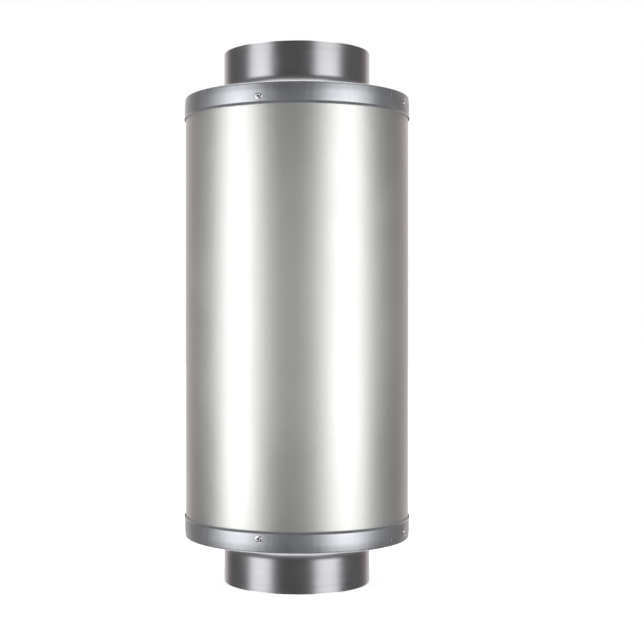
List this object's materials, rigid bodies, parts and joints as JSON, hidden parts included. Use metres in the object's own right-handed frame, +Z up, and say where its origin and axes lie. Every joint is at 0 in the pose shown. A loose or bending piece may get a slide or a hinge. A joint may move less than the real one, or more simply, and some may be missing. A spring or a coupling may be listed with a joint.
{
  "type": "duct sound attenuator",
  "caption": "Round in-line silencer for a ventilation duct: steel jacket packed with mineral wool round a lined airway, a spigot at each end, closing bands held by rivets.",
  "frame": {"origin": "on the airway's axis, in the plane of the lower spigot's rim, on which the unit stands", "axes": "+Z up along the airway; -Y towards the camera; +X to the right in the picture"},
  "size_m": [0.3074, 0.3074, 0.717],
  "materials": {
    "jacket_steel": "satin zinc coated sheet",
    "spun_steel": "spun, fine rings",
    "band_steel": "satin",
    "rivet_aluminium": "bright",
    "mandrel_steel": "broken end, dark",
    "black_fleece": "matte felted",
    "slotted_steel": "zinc coated",
    "mineral_wool": "loose fibre",
    "sealing_foam": "matte closed cell foam"
  },
  "bodies": {
    "root": {"outer_shell": "jacket_steel", "upper_end_plate": "spun_steel", "lower_end_plate": "spun_steel", "upper_closing_band": "band_steel", "lower_closing_band": "band_steel", "upper_rivets": "rivet_aluminium", "lower_rivets": "rivet_aluminium", "upper_rivet_mandrels": "mandrel_steel", "lower_rivet_mandrels": "mandrel_steel", "airway_fleece": "black_fleece", "perforated_tube": "slotted_steel", "inner_wool_layer": "mineral_wool", "outer_wool_layer": "mineral_wool", "upper_sealing_ring": "sealing_foam", "lower_sealing_ring": "sealing_foam"}
  },
  "joints": []
}
